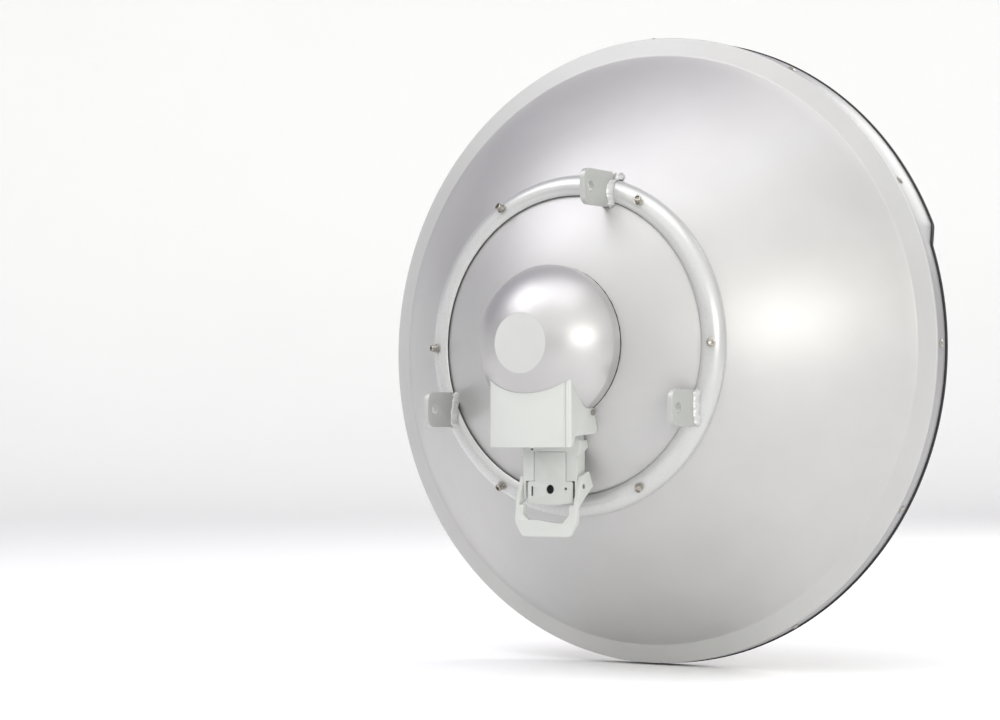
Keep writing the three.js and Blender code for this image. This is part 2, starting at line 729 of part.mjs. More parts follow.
/** Shielded network socket that opens downwards. */
function ethernetJack() {
  const body = toSolid(block(-JACK_HALF, JACK_HALF, JACK_FRONT_Y, JACK_BACK_Y, JACK_MOUTH_Z, BAY_TOP_Z));
  const socket = toSolid(block(
    -5.9, 5.9, JACK_FRONT_Y + JACK_WALL, JACK_BACK_Y - JACK_WALL, JACK_MOUTH_Z - 1, JACK_MOUTH_Z + JACK_DEPTH,
  ));
  return body.subtract(socket).subtract(dishTool);
}

/** Plunger that passes the port panel, with its collar above it; its own axis is Y, turned to +Z. */
function resetButton() {
  return turned([[0, -6], [RESET_R, -6], [RESET_R, 0], [3, 0], [3, 1.5], [0, 1.5]], 12);
}

add('port_bay', portBay(), whitePlastic);
add('ethernet_jack', ethernetJack(), jackMetal);
aim(
  add('reset_button', resetButton(), blackRubber),
  new THREE.Vector3(RESET_X, RESET_Y, PANEL_TOP_Z + GAP),
  new THREE.Vector3(0, 0, 1),
);

// ---------------------------------------------------------------- sliding door

/** T-shaped door: the tongue fills the slot, the base covers the channel's mouth. */
function cableDoor() {
  const tongueTop = SLOT_TOP_Z - GAP;
  const jog = SLOT_BOTTOM_Z - GAP;
  const shape = new THREE.Shape();
  shape.moveTo(tongueTop, -DOOR_TONGUE_HALF);
  shape.lineTo(tongueTop, DOOR_TONGUE_HALF);
  shape.lineTo(jog, DOOR_TONGUE_HALF);
  shape.lineTo(jog, DOOR_BASE_HALF);
  shape.lineTo(DOOR_BOTTOM_Z + 3, DOOR_BASE_HALF);
  shape.quadraticCurveTo(DOOR_BOTTOM_Z - 1.5, 0, DOOR_BOTTOM_Z + 3, -DOOR_BASE_HALF);
  shape.lineTo(jog, -DOOR_BASE_HALF);
  shape.lineTo(jog, -DOOR_TONGUE_HALF);
  const hole = new THREE.Path();
  hole.absarc(DOOR_HOLE_Z, 0, DOOR_HOLE_R, 0, 2 * Math.PI, true);
  shape.holes.push(hole);
  return alongY(shape, BAY_FACE_Y - BAY_PLATE, BAY_FACE_Y, 8);
}

add('cable_door', cableDoor(), whitePlastic);

// ---------------------------------------------------------------- bail handle and its pins

/** Side outline of a lobe: it reaches round the pivot and runs down into the arm. */
function lobeShape() {
  return outlineShape([
    [0.1, -128.2], [-13, -123.2], [-20.8, -137.9], [-6, -149], [4.2, -158], [8.7, -158], [7.9, -151.8],
  ]);
}

/** Side outline of the arms and the grip. */
function bailShape() {
  return outlineShape([
    [3.7, -155.5], [8.4, -155.5], [HANDLE_BACK_Y, GRIP_TOP_Z], [HANDLE_BACK_Y, GRIP_BOTTOM_Z],
    [HANDLE_FRONT_Y, GRIP_BOTTOM_Z], [HANDLE_FRONT_Y, GRIP_TOP_Z],
  ]);
}

/** The grip's outline from behind, with its lower corners cut off, and the finger window. */
function bailFront() {
  const corner = 9;
  const low = GRIP_BOTTOM_Z;
  const shape = new THREE.Shape();
  shape.moveTo(-150, -HANDLE_HALF);
  shape.lineTo(-150, HANDLE_HALF);
  shape.lineTo(low + corner, HANDLE_HALF);
  shape.quadraticCurveTo(low, HANDLE_HALF - 1, low, HANDLE_HALF - corner);
  shape.lineTo(low, -HANDLE_HALF + corner);
  shape.quadraticCurveTo(low, -HANDLE_HALF + 1, low + corner, -HANDLE_HALF);
  return alongY(shape, -30, 30, 5);
}

function releaseHandle() {
  const window = toSolid(block(-HANDLE_INNER, HANDLE_INNER, -30, 30, GRIP_TOP_Z, -140));
  const bail = toSolid(alongX(bailShape(), -HANDLE_HALF, HANDLE_HALF)).intersect(toSolid(bailFront()));
  const lobes = mirroredX((side) => {
    const [x0, x1] = span(side, HANDLE_LOBE_INNER, HANDLE_HALF);
    return toSolid(alongX(lobeShape(), x0, x1));
  });
  return bail.subtract(window).add(lobes).subtract(pinHole(1)).subtract(pinHole(-1));
}

add('release_handle', releaseHandle(), whitePlastic);
for (const [name, side] of [['handle_pin_left', 1], ['handle_pin_right', -1]]) {
  const middle = new THREE.Vector3(side * 31.2, PIVOT_Y, PIVOT_Z);
  aim(add(name, new THREE.CylinderGeometry(PIN_R, PIN_R, 7.6, 12), stainless), middle, X_AXIS);
}

export default model;
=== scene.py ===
"""The looks of the outdoor wireless bridge, built round its CAD frame.

Lengths are in millimetres up to the point where a mesh is made, and MM turns them into metres.
The dish axis is Y: the hub is on the +Y side and the radome on the -Y side. +Z is up.
"""

import json
import math

import bmesh
import bpy
from mathutils import Matrix, Vector, noise


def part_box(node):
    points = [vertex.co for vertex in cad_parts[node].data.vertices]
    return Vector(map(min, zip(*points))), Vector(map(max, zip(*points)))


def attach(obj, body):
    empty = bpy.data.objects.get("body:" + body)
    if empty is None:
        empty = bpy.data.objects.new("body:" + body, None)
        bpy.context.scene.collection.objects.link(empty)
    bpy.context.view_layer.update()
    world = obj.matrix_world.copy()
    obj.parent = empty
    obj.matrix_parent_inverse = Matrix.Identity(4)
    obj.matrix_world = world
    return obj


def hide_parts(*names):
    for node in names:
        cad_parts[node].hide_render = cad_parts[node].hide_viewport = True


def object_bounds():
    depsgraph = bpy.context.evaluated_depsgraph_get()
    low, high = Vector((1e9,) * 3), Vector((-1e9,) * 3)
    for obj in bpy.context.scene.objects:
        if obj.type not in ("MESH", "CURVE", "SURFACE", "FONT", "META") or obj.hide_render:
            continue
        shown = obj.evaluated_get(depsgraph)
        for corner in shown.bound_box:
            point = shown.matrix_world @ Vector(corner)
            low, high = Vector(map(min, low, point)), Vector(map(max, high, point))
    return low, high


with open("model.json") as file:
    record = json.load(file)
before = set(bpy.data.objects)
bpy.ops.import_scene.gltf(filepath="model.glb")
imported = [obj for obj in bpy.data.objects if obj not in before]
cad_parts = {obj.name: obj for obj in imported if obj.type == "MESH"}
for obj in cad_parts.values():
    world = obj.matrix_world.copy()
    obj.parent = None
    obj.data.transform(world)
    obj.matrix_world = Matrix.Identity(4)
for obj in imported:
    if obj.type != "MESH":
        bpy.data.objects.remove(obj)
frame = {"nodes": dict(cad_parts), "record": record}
CAD_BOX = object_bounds()
MM = 0.001
DEG = math.pi / 180


def low(node):
    """The lowest corner of a CAD node, in millimetres."""
    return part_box(node)[0] / MM


def high(node):
    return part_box(node)[1] / MM


def middle(node):
    return (low(node) + high(node)) / 2


# ------------------------------------------------------------------ sizes

RIM_R = high("reflector_dish").x
RIM_Y = -190.0
FLANGE_R = 306.0
FLANGE_Y = -185.0
FOCAL = 122.0
SHEET = 2.0
VERTEX_Y = FLANGE_Y + FLANGE_R**2 / (4 * FOCAL)
FEED_HOLE_R = 15.4
LIP_R = 323.1
LIP_FRONT_Y = low("reflector_dish").y
GAP = 0.3

BAND_BACK_Y = high("rim_band").y
BAND_HOOD_EDGE_Y = low("rim_band").y
BAND_LOW_EDGE_Y = -212.0
STEP_LOW_Z = 97.7
STEP_HIGH_Z = 119.1
STEP_FILLET = 7.0
TRIM_COVER = 3.4
TRIM_NOSE = BAND_HOOD_EDGE_Y - low("rim_edge_trim").y
TRIM_OUTER_R = 326.2
TRIM_INNER_R = 322.2

RADOME_R = high("radome").x
RADOME_BACK_Y = high("radome").y
RADOME_FRONT_Y = low("radome").y
RADOME_RETURN = 8.0  # depth of the rim that turns back into the gasket
RADOME_EDGE_Y = RADOME_BACK_Y - RADOME_RETURN
RADOME_WALL = 2.5

RIVET_COUNT = 12
RIVET_R = 2.0
RIVET_HEAD_R = 4.0
RIVET_TAIL_Y = -5.8
RIVET_DIMPLE_Y = 1.3

RING_R = 157.5
RING_HALF = 12.2
RING_HEIGHT = 9.85
RING_SHEET = 2.5
RING_SCREW_R = 154.5

SCREW_COUNT = 6
SCREW_SHANK_R = 2.5
SCREW_TIP_Y = -7.0
SCREW_BASE_Y = 10.3  # underside of the washer, above the dish
SCREW_TOP_Y = 16.6
SCREW_HEAD_R = 3.6
SCREW_SOCKET_R = 2.2
SCREW_SOCKET_DEPTH = 2.5
SCREW_SOCKET_POINT = 3.3  # depth at the middle of the socket's conical floor
WASHER_R = 4.7
WASHER_THICK = 1.0

EAR_HOLE_R = 5.25
EAR_CORNER_R = 10.0
WELD_RIPPLES = 9
WELD_STEPS = 90

HUB_R = high("hub_housing").x
HUB_BASE_Y = low("hub_housing").y
HUB_FLAT_Y = high("hub_housing").y
HUB_FLAT_R = 29.0
HUB_SHOULDER_Y = 7.5
HUB_WALL = 2.5

NECK_HALF = high("neck_housing").x
NECK_BOTTOM_Z = low("neck_housing").z
NECK_BULGE_Y = high("neck_housing").y
NECK_EDGE_Y = 37.0
NECK_FRONT_Y = -9.0
NECK_BLEND_Y = 20.0  # in front of this the wall is drawn out to meet the dish
NECK_WALL = 2.5

BODY = "dish"

# ------------------------------------------------------------------ materials


class Nodes:
    """A short way to write a node material."""

    def __init__(self, name):
        self.material = bpy.data.materials.new(name)
        self.material.use_nodes = True
        self.tree = self.material.node_tree
        self.shader = self.tree.nodes["Principled BSDF"]

    def new(self, kind, **settings):
        node = self.tree.nodes.new(kind)
        for key, value in settings.items():
            if key in node.inputs:
                node.inputs[key].default_value = value
            else:
                setattr(node, key, value)
        return node

    def link(self, source, output, target, socket):
        self.tree.links.new(source.outputs[output], target.inputs[socket])

    def noise(self, scale, detail=4.0, roughness=0.5):
        """Noise in the piece's own coordinates; scale is counted per metre."""
        place = self.new("ShaderNodeTexCoord")
        made = self.new("ShaderNodeTexNoise", Scale=scale, Detail=detail, Roughness=roughness)
        self.link(place, "Object", made, "Vector")
        return made

    def spread(self, source, from_low, from_high, to_low, to_high):
        made = self.new("ShaderNodeMapRange")
        for socket, value in zip(("From Min", "From Max", "To Min", "To Max"),
                                 (from_low, from_high, to_low, to_high)):
            made.inputs[socket].default_value = value
        self.link(source, "Fac", made, "Value")
        return made

    def colours(self, source, *stops):
        """A colour ramp over a noise, from (place, colour) stops."""
        ramp = self.new("ShaderNodeValToRGB")
        elements = ramp.color_ramp.elements
        while len(elements) < len(stops):
            elements.new(0.5)
        for element, (place, colour) in zip(elements, stops):
            element.position = place
            element.color = (*colour, 1)
        self.link(source, "Fac", ramp, "Fac")
        self.link(ramp, "Color", self.shader, "Base Color")

    def bump(self, source, strength, depth_mm):
        made = self.new("ShaderNodeBump", Strength=strength, Distance=depth_mm * MM)
        self.link(source, "Fac", made, "Height")
        self.link(made, "Normal", self.shader, "Normal")


def shade(colour, factor):
    return tuple(min(1.0, c * factor) for c in colour)


def paint(name, colour, metal, rough, coat=0.0, grain=2600.0, grain_depth=0.02, cloud=0.04):
    """Sprayed paint: fine metallic grain, soft cloudy shade, slight orange peel."""
    n = Nodes(name)
    n.shader.inputs["Metallic"].default_value = metal
    n.shader.inputs["Coat Weight"].default_value = coat
    n.shader.inputs["Coat Roughness"].default_value = 0.18
    clouds = n.noise(9.0, 5.0, 0.55)
    n.colours(clouds, (0.3, shade(colour, 1 - cloud)), (0.7, shade(colour, 1 + cloud)))
    speck = n.noise(grain, 2.0)
    n.link(n.spread(speck, 0.3, 0.7, rough - 0.05, rough + 0.05), "Result", n.shader, "Roughness")
    n.bump(speck, 0.25, grain_depth)
    return n.material


def moulding(name, colour, rough, grain=1500.0, depth=0.03, cloud=0.025):
    """Moulded plastic with a fine spark-eroded texture."""
    n = Nodes(name)
    n.shader.inputs["Specular IOR Level"].default_value = 0.45
    clouds = n.noise(14.0, 4.0)
    n.colours(clouds, (0.3, shade(colour, 1 - cloud)), (0.7, shade(colour, 1 + cloud)))
    texture = n.noise(grain, 3.0, 0.6)
    n.link(n.spread(texture, 0.3, 0.7, rough - 0.06, rough + 0.06), "Result", n.shader, "Roughness")
    n.bump(texture, 0.3, depth)
    return n.material


def rubber(name, colour):
    n = Nodes(name)
    n.shader.inputs["Specular IOR Level"].default_value = 0.3
    dust = n.noise(60.0, 6.0, 0.6)
    n.colours(dust, (0.35, colour), (0.8, shade(colour, 2.2)))
    grain = n.noise(1800.0, 3.0)
    n.link(n.spread(grain, 0.3, 0.7, 0.62, 0.85), "Result", n.shader, "Roughness")
    n.bump(grain, 0.4, 0.04)
    return n.material


def metal(name, colour, rough):
    """Machined or rolled metal with faint lay marks and stains."""
    n = Nodes(name)
    n.shader.inputs["Metallic"].default_value = 1.0
    stains = n.noise(300.0, 5.0, 0.6)
    n.colours(stains, (0.3, shade(colour, 0.78)), (0.65, shade(colour, 1.08)))
    marks = n.noise(2400.0, 2.0)
    n.link(n.spread(marks, 0.3, 0.7, rough - 0.07, rough + 0.1), "Result", n.shader, "Roughness")
    n.bump(marks, 0.3, 0.02)
    return n.material


def circuit_board():
    n = Nodes("circuit_board")
    cells = n.new("ShaderNodeTexVoronoi", Scale=260.0)
    place = n.new("ShaderNodeTexCoord")
    n.link(place, "Object", cells, "Vector")
    ramp = n.new("ShaderNodeValToRGB")
    ramp.color_ramp.elements[0].color = (0.012, 0.09, 0.035, 1)
    ramp.color_ramp.elements[1].color = (0.03, 0.2, 0.08, 1)
    n.link(cells, "Distance", ramp, "Fac")
    n.link(ramp, "Color", n.shader, "Base Color")
    grain = n.noise(900.0, 2.0)
    n.link(n.spread(grain, 0.3, 0.7, 0.3, 0.45), "Result", n.shader, "Roughness")
    return n.material


LOOKS = {
    "dish_paint": paint("dish_paint", (0.49, 0.488, 0.482), 0.6, 0.46),
    "flange_paint": paint("flange_paint", (0.46, 0.46, 0.452), 0.15, 0.42),
    "band_paint": paint("band_paint", (0.33, 0.328, 0.335), 0.2, 0.42),
    "ring_paint": paint("ring_paint", (0.53, 0.535, 0.525), 0.35, 0.3, coat=0.3, grain_depth=0.006),
    "ear_paint": paint("ear_paint", (0.43, 0.44, 0.42), 0.15, 0.36, coat=0.3),
    "hub_paint": paint("hub_paint", (0.5, 0.496, 0.492), 0.65, 0.38),
    # hub_flat is a lighter, less metallic copy of the hub paint for the crown's flat disc: painted shade, as
    # the disc is the same moulding as the dome.
    "hub_flat": paint("hub_flat", (0.53, 0.54, 0.52), 0.05, 0.45),
    "edge_rubber": rubber("edge_rubber", (0.012, 0.012, 0.013)),
    # button_rubber is also laid on the port bay's channel floor as painted shade.
    "button_rubber": rubber("button_rubber", (0.03, 0.03, 0.032)),
    "radome_plastic": moulding("radome_plastic", (0.46, 0.45, 0.415), 0.5, grain=900.0),
    "white_plastic": moulding("white_plastic", (0.545, 0.56, 0.535), 0.42),
    "feed_plastic": moulding("feed_plastic", (0.6, 0.6, 0.57), 0.5),
    "stainless": metal("stainless", (0.42, 0.4, 0.36), 0.26),
    "bare_aluminium": metal("bare_aluminium", (0.62, 0.63, 0.64), 0.38),
    "shield_metal": metal("shield_metal", (0.55, 0.55, 0.56), 0.32),
    "circuit_board": circuit_board(),
}

for row in frame["record"]["subparts"]:
    carried = frame["nodes"][row["node"]]
    carried.data.materials.clear()
    carried.data.materials.append(LOOKS[row["material_slot"]])

# ------------------------------------------------------------------ mesh tools


def sharpened(mesh, angle):
    mesh.shade_smooth()
    mesh.set_sharp_from_angle(angle=angle * DEG)


def piece(name, mesh, slot, look=None, body=BODY, replaces=(), angle=32):
    """Puts a finished mesh into the scene, on its body, in place of its CAD nodes."""
    sharpened(mesh, angle)
    mesh.materials.clear()
    mesh.materials.append(LOOKS[look or slot])
    made = bpy.data.objects.new(name, mesh)
    bpy.context.scene.collection.objects.link(made)
    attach(made, body)
    if replaces:
        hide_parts(*replaces)
    return made


def mesh_of(name, points, faces):
    """A mesh from millimetre points, its faces turned outwards."""
    mesh = bpy.data.meshes.new(name)
    mesh.from_pydata([Vector(p) * MM for p in points], [], faces)
    tool = bmesh.new()
    tool.from_mesh(mesh)
    bmesh.ops.remove_doubles(tool, verts=tool.verts, dist=0.002 * MM)
    bmesh.ops.recalc_face_normals(tool, faces=tool.faces)
    tool.to_mesh(mesh)
    tool.free()
    return mesh


def rounded(corners, closed=True, step=12.0):
    """A polyline whose corners (u, v, radius) become arcs; a corner without a radius stays sharp."""
    count = len(corners)
    made = []
    for i, corner in enumerate(corners):
        here = Vector(corner[:2])
        radius = corner[2] if len(corner) > 2 else 0
        if not radius or (not closed and i in (0, count - 1)):
            made.append(here)
            continue
        before = Vector(corners[i - 1][:2]) - here
        after = Vector(corners[(i + 1) % count][:2]) - here
        half = before.angle(after) / 2
        reach = min(radius / math.tan(half), before.length * 0.499, after.length * 0.499)
        radius = reach * math.tan(half)
        start = here + before.normalized() * reach
        centre = here + (before.normalized() + after.normalized()).normalized() * radius / math.sin(half)
        sweep = math.pi - 2 * half
        turn = 1 if before.cross(after) < 0 else -1
        steps = max(1, math.ceil(sweep / DEG / step))
        for k in range(steps + 1):
            spin = Matrix.Rotation(turn * sweep * k / steps, 2)
            made.append(centre + spin @ (start - centre))
    return [tuple(p) for p in made]


def swept(name, sections, closed_path=True):
    """Joins a row of closed sections, each the same count of 3-D points, into a skin."""
    count = len(sections[0])
    points = [p for section in sections for p in section]
    faces = []
    rows = len(sections) if closed_path else len(sections) - 1
    for i in range(rows):
        here, there = i * count, (i + 1) % len(sections) * count
        for k in range(count):
            nxt = (k + 1) % count
            faces.append((here + k, here + nxt, there + nxt, there + k))
    if not closed_path:
        faces.append(tuple(range(count)))
        faces.append(tuple((len(sections) - 1) * count + k for k in range(count)))
    return mesh_of(name, points, faces)


def turned(name, outline, segments=192):
    """A piece turned about the Y axis from a closed (radius, y) outline."""
    sections = []
    for i in range(segments):
        angle = 2 * math.pi * i / segments
        sections.append([(r * math.cos(angle), y, r * math.sin(angle)) for r, y in outline])
    mesh = swept(name, sections)
    tool = bmesh.new()
    tool.from_mesh(mesh)
    bmesh.ops.dissolve_degenerate(tool, edges=tool.edges, dist=0.001 * MM)
    tool.to_mesh(mesh)
    tool.free()
    return mesh


AXES = {
    "X": Matrix(((0, 0, 1, 0), (1, 0, 0, 0), (0, 1, 0, 0), (0, 0, 0, 1))),
    "Y": Matrix(((0, 1, 0, 0), (0, 0, 1, 0), (1, 0, 0, 0), (0, 0, 0, 1))),
    "Z": Matrix.Identity(4),
}


def prism(name, outline, axis, start, end):
    """A closed outline carried along an axis. It is (y, z) for X, (z, x) for Y and (x, y) for Z."""
    count = len(outline)
    points = [AXES[axis] @ Vector((u, v, w)) for w in (start, end) for u, v in outline]
    faces = [(k, (k + 1) % count, count + (k + 1) % count, count + k) for k in range(count)]
    faces += [tuple(range(count)), tuple(range(count, 2 * count))]
    return mesh_of(name, points, faces)


def box(name, x0, x1, y0, y1, z0, z1):
    return prism(name, [(x0, y0), (x1, y0), (x1, y1), (x0, y1)], "Z", z0, z1)


def circle(radius, u, v, count=32):
    turns = [2 * math.pi * k / count for k in range(count)]
    return [(u + radius * math.cos(t), v + radius * math.sin(t)) for t in turns]


def evaluated(holder):
    """The mesh with its modifiers applied."""
    graph = bpy.context.evaluated_depsgraph_get()
    return bpy.data.meshes.new_from_object(holder.evaluated_get(graph))


def combined(base, *operations):
    """Joins, cuts or intersects meshes: operations are (kind, mesh) pairs."""
    collection = bpy.context.scene.collection
    for kind, tool in operations:
        holder = bpy.data.objects.new("combining", base)
        other = bpy.data.objects.new("combining_tool", tool)
        collection.objects.link(holder)
        collection.objects.link(other)
        work = holder.modifiers.new("cut", "BOOLEAN")
        work.operation = kind
        work.solver = "EXACT"
        work.object = other
        base = evaluated(holder)
        bpy.data.objects.remove(holder)
        bpy.data.objects.remove(other)
    return base


def eased(mesh, width, segments=3, angle=35):
    """Rounds the sharp edges of a mesh by a width in millimetres."""
    tool = bmesh.new()
    tool.from_mesh(mesh)
    bmesh.ops.remove_doubles(tool, verts=tool.verts, dist=0.01 * MM)
    bmesh.ops.dissolve_limit(tool, angle_limit=1.5 * DEG, verts=tool.verts, edges=tool.edges)
    tool.to_mesh(mesh)
    tool.free()
    holder = bpy.data.objects.new("easing", mesh)
    bpy.context.scene.collection.objects.link(holder)
    bevel = holder.modifiers.new("bevel", "BEVEL")
    bevel.width = width * MM
    bevel.segments = segments
    bevel.limit_method = "ANGLE"
    bevel.angle_limit = angle * DEG
    bevel.use_clamp_overlap = True
    made = evaluated(holder)
    bpy.data.objects.remove(holder)
    return made


# ------------------------------------------------------------------ the dish surface


def dish_y(radius):
    return VERTEX_Y - radius**2 / (4 * FOCAL)


def above_dish(radius, height):
    slope = math.atan(radius / (2 * FOCAL))
    return radius + height * math.sin(slope), dish_y(radius) + height * math.cos(slope)


def round_dish(radius, height, angle):
    r, y = above_dish(radius, height)
    return Vector((r * math.cos(angle), y, r * math.sin(angle)))


def aimed(mesh, position, direction):
    """A copy of a mesh drawn along its own +Y, moved to a place and turned to a direction."""
    turn = Vector((0, 1, 0)).rotation_difference(Vector(direction).normalized()).to_matrix().to_4x4()
    made = mesh.copy()
    made.transform(Matrix.Translation(Vector(position) * MM) @ turn)
    return made


# ------------------------------------------------------------------ reflector, band, trim and rivets


def reflector():
    """The spun dish, its painted flange and the lip that turns forward inside the band."""
    back = [above_dish(FEED_HOLE_R + (298 - FEED_HOLE_R) * i / 60, 0) for i in range(61)]
    front = [above_dish(FEED_HOLE_R + (296 - FEED_HOLE_R) * i / 40, -SHEET) for i in range(41)]
    front[0] = (FEED_HOLE_R, front[0][1])
    rim = rounded([
        (*above_dish(298, 0), 0), (FLANGE_R, FLANGE_Y, 5),
        (RIM_R, RIM_Y, 1.8), (RIM_R, RIM_Y - 2.1, 0.3), (LIP_R, RIM_Y - 2.3, 0.4),
        (LIP_R, LIP_FRONT_Y, 0.6), (LIP_R - SHEET, LIP_FRONT_Y, 0.6), (LIP_R - SHEET, RIM_Y - 1.5, 2),
        (FLANGE_R - 1, FLANGE_Y - 2.2, 4), (*above_dish(296, -SHEET), 0),
    ], closed=False)
    mesh = turned("dish_shell", back + rim[1:-1] + front[::-1], 288)
    piece("dish_shell", mesh, "dish_paint", replaces=["reflector_dish"])
    mesh.materials.append(LOOKS["flange_paint"])
    for face in mesh.polygons:
        r = math.hypot(face.center.x, face.center.z) / MM
        if r > FLANGE_R - 1.0 and face.center.y / MM > RIM_Y - 3:
            face.material_index = 1


def edge_path():
    """The band's front edge unrolled: (arc length, y, normal) every degree or so, with rounded steps."""
    arc = RIM_R * DEG
    low_angle = math.asin(STEP_LOW_Z / RIM_R) / DEG
    high_angle = math.asin(STEP_HIGH_Z / RIM_R) / DEG
    end = (270 * arc, BAND_LOW_EDGE_Y)
    line = rounded([
        (-90 * arc, BAND_LOW_EDGE_Y),
        (low_angle * arc, BAND_LOW_EDGE_Y, STEP_FILLET),
        (high_angle * arc, BAND_HOOD_EDGE_Y, STEP_FILLET),
        ((180 - high_angle) * arc, BAND_HOOD_EDGE_Y, STEP_FILLET),
        ((180 - low_angle) * arc, BAND_LOW_EDGE_Y, STEP_FILLET),
        end,
    ], closed=False, step=6)
    fine = []
    for (s0, y0), (s1, y1) in zip(line, line[1:]):
        steps = max(1, math.ceil((s1 - s0) / (1.25 * arc)))
        fine += [(s0 + (s1 - s0) * k / steps, y0 + (y1 - y0) * k / steps) for k in range(steps)]
    path = []
    for i, (s, y) in enumerate(fine):
        ahead = fine[i + 1] if i + 1 < len(fine) else end
        behind = fine[i - 1] if i else (s - 1, y)
        along = (Vector(ahead) - Vector(behind)).normalized()
        path.append((s, y, Vector((-along.y, along.x))))
    return path


EDGE_PATH = edge_path()


def round_rim(s, radius, y):
    angle = s / RIM_R
    return (radius * math.cos(angle), y, radius * math.sin(angle))


def rim_band():
    """A rolled band: its back edge is a circle, its front edge follows the hood's step."""
    inner = LIP_R + GAP
    sections = []
    for s, y, _ in EDGE_PATH:
        outline = rounded([
            (RIM_R, BAND_BACK_Y, 0.5), (RIM_R, y, 0.5), (inner, y, 0.5), (inner, BAND_BACK_Y, 0.5),
        ], step=45)
        sections.append([round_rim(s, r, v) for r, v in outline])
    piece("band_shell", swept("band_shell", sections), "band_paint", replaces=["rim_band"])


def rim_trim():
    """A rubber extrusion pressed over the band's front edge."""
    outline = rounded([
        (TRIM_COVER, TRIM_OUTER_R, 0.45), (-TRIM_NOSE, TRIM_OUTER_R, 1.6), (-TRIM_NOSE, TRIM_INNER_R, 1.6),
        (TRIM_COVER, TRIM_INNER_R, 0.4), (TRIM_COVER, LIP_R), (-GAP, LIP_R), (-GAP, RIM_R + GAP),
        (TRIM_COVER, RIM_R + GAP),
    ], step=20)
    sections = []
    for s, y, normal in EDGE_PATH:
        sections.append([round_rim(s + normal.x * d, r, y + normal.y * d) for d, r in outline])
    piece("edge_trim", swept("edge_trim", sections), "edge_rubber", replaces=["rim_edge_trim"])


def rivets():
    """Blind rivets: a domed flange with the pulled mandrel's dimple in its middle."""
    outline = [(0, RIVET_TAIL_Y)] + rounded([
        (RIVET_R, RIVET_TAIL_Y, 0.3), (RIVET_R, 0), (RIVET_HEAD_R, 0, 0.2), (3.9, 0.5, 0.6),
        (1.5, 1.7, 0.5), (1.2, 1.2, 0.2), (0.6, RIVET_DIMPLE_Y, 0.1),
    ], closed=False, step=25) + [(0, RIVET_DIMPLE_Y)]
    mesh = turned("rivet", outline, 24)
    for i in range(RIVET_COUNT):
        node = f"rim_rivet_{i + 1:02d}"
        angle = 2 * math.pi * i / RIVET_COUNT
        place = Vector(((RIM_R + GAP) * math.cos(angle), middle(node).y, (RIM_R + GAP) * math.sin(angle)))
        out = (math.cos(angle), 0, math.sin(angle))
        piece(f"rivet_{i + 1:02d}", aimed(mesh, place, out), "stainless", replaces=[node])


# ------------------------------------------------------------------ radome


def radome():
    """A shallow crowned skin: a soft shoulder, then a rim that turns back into the gasket."""
    flat = RADOME_R - 3
    crown = RADOME_EDGE_Y - 1.5 - RADOME_FRONT_Y

    def skin(r, wall):
        return RADOME_FRONT_Y + crown * (r / flat) ** 2 + wall

    front = [(flat * i / 40, skin(flat * i / 40, 0)) for i in range(41)]
    back = [(flat * i / 30, skin(flat * i / 30, RADOME_WALL)) for i in range(30)]
    rim = rounded([
        front[-1], (RADOME_R, RADOME_EDGE_Y, 1.6), (RADOME_R, RADOME_BACK_Y, 0.5),
        (RADOME_R - RADOME_WALL, RADOME_BACK_Y, 0.5), (RADOME_R - RADOME_WALL, skin(flat, RADOME_WALL), 2),
        back[-1],
    ], closed=False)
    mesh = turned("radome_skin", front[:-1] + rim + back[:-1][::-1], 256)
    piece("radome_skin", mesh, "radome_plastic", replaces=["radome"])


# ------------------------------------------------------------------ mounting ring, screws and ears

RING_SLOPE = math.atan(RING_R / (2 * FOCAL))


def ring_point(along, above):
    """A (radius, y) point of the ring's section, from its middle along the dish and up from it."""
    radius = RING_R + along * math.cos(RING_SLOPE) + above * math.sin(RING_SLOPE)
    return radius, dish_y(RING_R) - along * math.sin(RING_SLOPE) + above * math.cos(RING_SLOPE)


def ring_arc(grow, start, end, steps):
    """Part of the ring's arched section, grown outwards by a distance."""
    made = []
    for k in range(steps + 1):
        angle = start + (end - start) * k / steps
        made.append(ring_point((RING_HALF + grow) * math.cos(angle), (RING_HEIGHT + grow) * math.sin(angle)))
    return made


def ring_top(radius):
    """Height of the ring's outside at a radius, or of the dish where the ring isn't."""
    best = dish_y(radius)
    arc = ring_arc(0, 0, math.pi, 60)
    for (r0, y0), (r1, y1) in zip(arc, arc[1:]):
        if min(r0, r1) <= radius <= max(r0, r1) and abs(r1 - r0) > 1e-6:
            best = max(best, y0 + (y1 - y0) * (radius - r0) / (r1 - r0))
    return best


def mounting_ring():
    outside = ring_arc(0, 4 * DEG, 171 * DEG, 26)
    inside = ring_arc(-RING_SHEET, 5 * DEG, 169 * DEG, 16)
    mesh = turned("ring_arch", outside + inside[::-1], 256)
    piece("ring_arch", mesh, "ring_paint", replaces=["mounting_ring"], angle=50)


def ring_screws():
    """Socket-head screws with a washer, on the ring's crest."""
    seat, top = SCREW_BASE_Y + WASHER_THICK, SCREW_TOP_Y
    outline = [(0, SCREW_TIP_Y)] + rounded([
        (SCREW_SHANK_R, SCREW_TIP_Y, 0.4), (SCREW_SHANK_R, SCREW_BASE_Y),
        (WASHER_R, SCREW_BASE_Y, 0.2), (WASHER_R, seat, 0.25),
        (SCREW_HEAD_R, seat), (SCREW_HEAD_R, top, 0.7),
        (SCREW_SOCKET_R, top, 0.2), (SCREW_SOCKET_R, top - SCREW_SOCKET_DEPTH),
        (0, top - SCREW_SOCKET_POINT),
    ], closed=False, step=22)
    mesh = turned("screw", outline, 32)
    for i in range(SCREW_COUNT):
        angle = 2 * math.pi * i / SCREW_COUNT
        place = round_dish(RING_SCREW_R, 0, angle)
        direction = round_dish(RING_SCREW_R, 1, angle) - place
        node = f"ring_screw_{i + 1}"
        piece(f"crest_screw_{i + 1}", aimed(mesh, place, direction), "stainless", replaces=[node])


